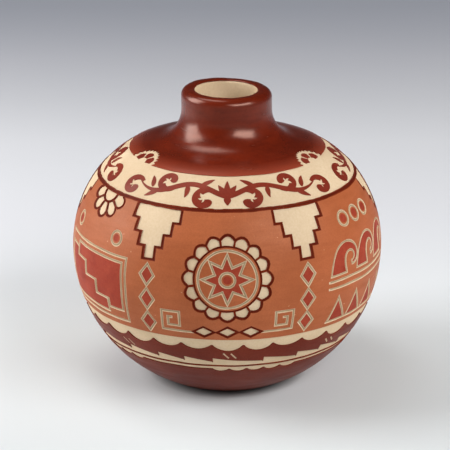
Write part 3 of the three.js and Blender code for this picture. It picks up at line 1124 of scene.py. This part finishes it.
def makeFoot(f):
    design = newDesign()
    reach = footSheet["width"] / 2 + past

    def paintRound(kind, low, high):
        paint(design, (0, 0, 1.0), kind, [(-reach, low), (reach, low), (reach, high), (-reach, high)])

    def paintAt(degrees, y, kind, ring):
        for spot in footSpots(degrees, y):
            paint(design, spot, kind, ring)

    paintRound("cloud", bandLow, bandHigh + past)
    pitch = full * wallAt(bandHigh)[0] / f["scallops"]
    for i in range(f["scallops"]):
        width = pitch - f["scallopTip"] + f["widthStray"] * math.sin(i * 2.4)
        depth = f["scallopDepth"] + f["depthStray"] * math.sin(i * 1.7 + 1)
        paintAt(f["scallopStart"] + 360 / f["scallops"] * i, bandHigh, "cream", bite(width, depth))
    angle = 0
    while angle < 360:
        for degrees in f["toothPitches"]:
            length = math.radians(degrees) * wallAt(bandLow)[0] - f["toothSlack"]
            tooth = [(0, -past), (length, -past), (length, f["toothSlack"]), (0, f["toothHeight"])]
            paintAt(angle, bandLow, "cream", tooth)
            angle += degrees
    lean = math.radians(f["tickLean"])
    along = Vector((math.sin(lean), -math.cos(lean))) * f["tickLength"] / 2
    across = Vector((math.cos(lean), math.sin(lean))) * f["tickWidth"] / 2
    height = (bandLow + bandHigh) / 2 - f["tickDrop"]
    for i in range(f["ticks"]):
        for side in (-0.5, 0.5):
            middle = Vector((side * f["tickApart"], 0))
            ring = [middle - along - across, middle + along - across, middle + along + across,
                    middle - along + across]
            paintAt(f["tickStart"] + 360 / f["ticks"] * i, height, "tick", [tuple(p) for p in ring])
    paintRound("thin", footLine - f["lineWidth"] / 2, footLine + f["lineWidth"] / 2)
    paintRound("foot", footLow - past, footTop)
    for group in range(f["leafGroups"]):
        for i in range(f["leaves"]):
            degrees = f["leafStart"] + 360 / f["leafGroups"] * group
            degrees += math.degrees(f["leafWidth"] / wallAt(footTop)[0]) * i
            paintAt(degrees, footTop, "cream", bite(f["leafWidth"] - f["scallopTip"], f["leafDepth"]))
    makeSlips(footSheet, design, [
        ("cloud_slip", "satinRed", "cloud", ["cloud_band"]),
        ("scraped_ticks", "scrapedClay", "tick", []),
        ("thin_ring", "darkLine", "thin", ["thin_line"]),
        ("foot_slip", "satinRed", "foot", ["foot_coat"]),
    ])


makeFoot(foot)

# Stage, camera and lights
view = {
    "distance": 714.0, "elevation": 19.25, "aimHeight": 50.7, "aimAside": -0.76,
    "focalPixels": 2152.8, "framePixels": 450, "near": 0.01, "far": 20,
}


def makeCamera(v):
    camera = bpy.data.cameras.new("camera")
    camera.lens = v["focalPixels"] / v["framePixels"] * camera.sensor_width
    camera.clip_start, camera.clip_end = v["near"], v["far"]
    shot = addObject("camera", camera)
    rise = math.radians(v["elevation"])
    aim = Vector((v["aimAside"], 0, v["aimHeight"]))
    shot.location = (aim + Vector((0, -math.cos(rise), math.sin(rise))) * v["distance"]) * mm
    shot.rotation_euler = (math.pi / 2 - rise, 0, 0)
    bpy.context.scene.camera = shot


lampAim = 50  # height on the jar's axis that the softboxes face
unseen = ("fill", "rim", "low")  # softboxes that don't show in the polish
lamps = {
    # softboxes: bearing and height in degrees seen from the jar, 0 towards the camera and + to the right;
    # level is the share of full light that each gives a surface that faces it
    "left": {"bearing": -92, "height": 29, "distance": 620, "size": (380, 490), "level": 1.02},
    "right": {"bearing": 45, "height": 36, "distance": 640, "size": (540, 240), "level": 0.8},
    "top": {"bearing": -125, "height": 72, "distance": 700, "size": (220, 400), "level": 0.21},
    "fill": {"bearing": 8, "height": 5, "distance": 900, "size": (700, 500), "level": 0.14},
    "rim": {"bearing": 108, "height": 10, "distance": 700, "size": (500, 200), "level": 0.44},
    "low": {"bearing": -104, "height": 5, "distance": 700, "size": (500, 240), "level": 0.3},
}


def makeLamps(boxes):
    for name, box in boxes.items():
        lamp = bpy.data.lights.new(name, "AREA")
        lamp.shape = "RECTANGLE"
        lamp.size, lamp.size_y = (side * mm for side in box["size"])
        lamp.energy = box["level"] * (math.pi * box["distance"] * mm) ** 2
        holder = addObject(name, lamp)
        holder.visible_glossy = name not in unseen
        bearing, height = math.radians(box["bearing"]), math.radians(box["height"])
        flat = math.cos(height)
        towards = Vector((math.sin(bearing) * flat, -math.cos(bearing) * flat, math.sin(height)))
        holder.location = (towards * box["distance"] + Vector((0, 0, lampAim))) * mm
        holder.rotation_euler = towards.to_track_quat("Z", "Y").to_euler()


studio = {
    # a sheet of pale paper, with greys at distances behind the jar's middle that paint how its light falls
    # off; spans are in mm
    "paperRadius": 3000,
    "paperSides": 96,
    "falloffGreys": ((-420, "#8e8f90"), (-70, "#d5d9da"), (30, "#e0e4e5"), (150, "#dfe0e4"), (260, "#dedfe3"),
              (330, "#d4d5da"), (400, "#cccdd4"), (520, "#bfc2cd")),
    "sideShadeGrey": "#9a9b9d", "sides": (140, 420),  # painted shade on the paper to the left and right of the picture
    "contactShadowGrey": "#4a4646", "under": (20, 27),  # a shadow painted on the paper close round the foot
    "horizon": "#94979e", "fade": (420, 900),  # what lies beyond the paper, and where it turns into that
    "ambient": 0.06,  # even light from the room on matt surfaces
    "gleam": 0.02,  # how bright the dark room shows in polished ones
    "glow": 0.7,  # the same low down at the front of the room, and at its back
    "glowBehind": 0.12,
    "glowSpan": (0.3, -0.6),  # from the back to the front, as parts of a way to the horizon
    "glowTop": 0.34,  # the sine of the glow's height
}


def metres(span):
    return [length * mm for length in span]


def makeFloor(s):
    bm = bmesh.new()
    bmesh.ops.create_circle(bm, cap_ends=True, radius=s["paperRadius"] * mm, segments=s["paperSides"])
    mesh = bpy.data.meshes.new("floor")
    bm.to_mesh(mesh)
    bm.free()
    material = bpy.data.materials.new("mattPaper")
    tree = emptyTree(material)
    where = addNode(tree, "ShaderNodeTexCoord").outputs["Object"]
    place = addNode(tree, "ShaderNodeSeparateXYZ", {"Vector": where}).outputs
    aside = addNode(tree, "ShaderNodeMath", (place["X"],), operation="ABSOLUTE").outputs[0]
    around = addNode(tree, "ShaderNodeVectorMath", (where,), operation="LENGTH").outputs["Value"]
    nearest, furthest = s["falloffGreys"][0][0], s["falloffGreys"][-1][0]
    # painted shade: the greys by distance paint how the light on the paper falls off
    away = addNode(tree, "ShaderNodeMapRange", (place["Y"], nearest * mm, furthest * mm)).outputs[0]
    ramp = addNode(tree, "ShaderNodeValToRGB", {"Fac": away})
    stops = ramp.color_ramp.elements
    while len(stops) < len(s["falloffGreys"]):
        stops.new(0.5)
    for stop, (distance, grey) in zip(stops, s["falloffGreys"]):
        stop.position = (distance - nearest) / (furthest - nearest)
        stop.color = toLinear(grey)
    # painted shade: the paper darker to the left and right
    colour = lay(tree, ramp.outputs["Color"], s["sideShadeGrey"], aside, metres(s["sides"]))
    # painted shadow: a dark ring of paper close round the foot
    colour = lay(tree, colour, s["contactShadowGrey"], around, metres(s["under"]), (1.0, 0.0))
    paper = addNode(tree, "ShaderNodeBsdfDiffuse", {"Color": colour}).outputs[0]
    distant = addNode(tree, "ShaderNodeEmission", {"Color": toLinear(s["horizon"])}).outputs[0]
    ray = addNode(tree, "ShaderNodeLightPath").outputs
    seen = ray["Is Camera Ray"]
    for kind in ("Is Glossy Ray", "Is Transmission Ray"):
        seen = addNode(tree, "ShaderNodeMath", (seen, ray[kind]), operation="MAXIMUM").outputs[0]
    fade = addNode(tree, "ShaderNodeMapRange", (around, *metres(s["fade"]))).outputs[0]
    mask = addNode(tree, "ShaderNodeMath", (fade, seen), operation="MULTIPLY").outputs[0]
    surface = addNode(tree, "ShaderNodeMixShader", (mask, paper, distant)).outputs[0]
    addNode(tree, "ShaderNodeOutputMaterial", {"Surface": surface})
    mesh.materials.append(material)
    addObject("floor", mesh)


def makeWorld(s):
    # the camera sees the grey beyond the paper, polish sees a dark room, and matt clay gets a little light
    world = bpy.data.worlds.new("studio")
    bpy.context.scene.world = world
    tree = emptyTree(world)
    ray = addNode(tree, "ShaderNodeLightPath").outputs
    where = addNode(tree, "ShaderNodeTexCoord").outputs["Generated"]
    way = addNode(tree, "ShaderNodeSeparateXYZ", {"Vector": where}).outputs
    glow = (way["Y"], *s["glowSpan"], s["glowBehind"], s["glow"])
    glow = addNode(tree, "ShaderNodeMapRange", glow).outputs[0]
    room = (way["Z"], 0.0, s["glowTop"], glow, s["gleam"])
    room = addNode(tree, "ShaderNodeMapRange", room).outputs[0]
    level = (ray["Is Glossy Ray"], 0.0, 1.0, s["ambient"], room)
    level = addNode(tree, "ShaderNodeMapRange", level).outputs[0]
    behind = addNode(tree, "ShaderNodeBackground", {"Color": toLinear(s["horizon"])}).outputs[0]
    around = addNode(tree, "ShaderNodeBackground", {"Strength": level}).outputs[0]
    shown = (ray["Is Camera Ray"], around, behind)
    surface = addNode(tree, "ShaderNodeMixShader", shown).outputs[0]
    addNode(tree, "ShaderNodeOutputWorld", {"Surface": surface})


makeCamera(view)
makeLamps(lamps)
makeFloor(studio)
makeWorld(studio)
bpy.context.scene.view_settings.view_transform = "Standard"
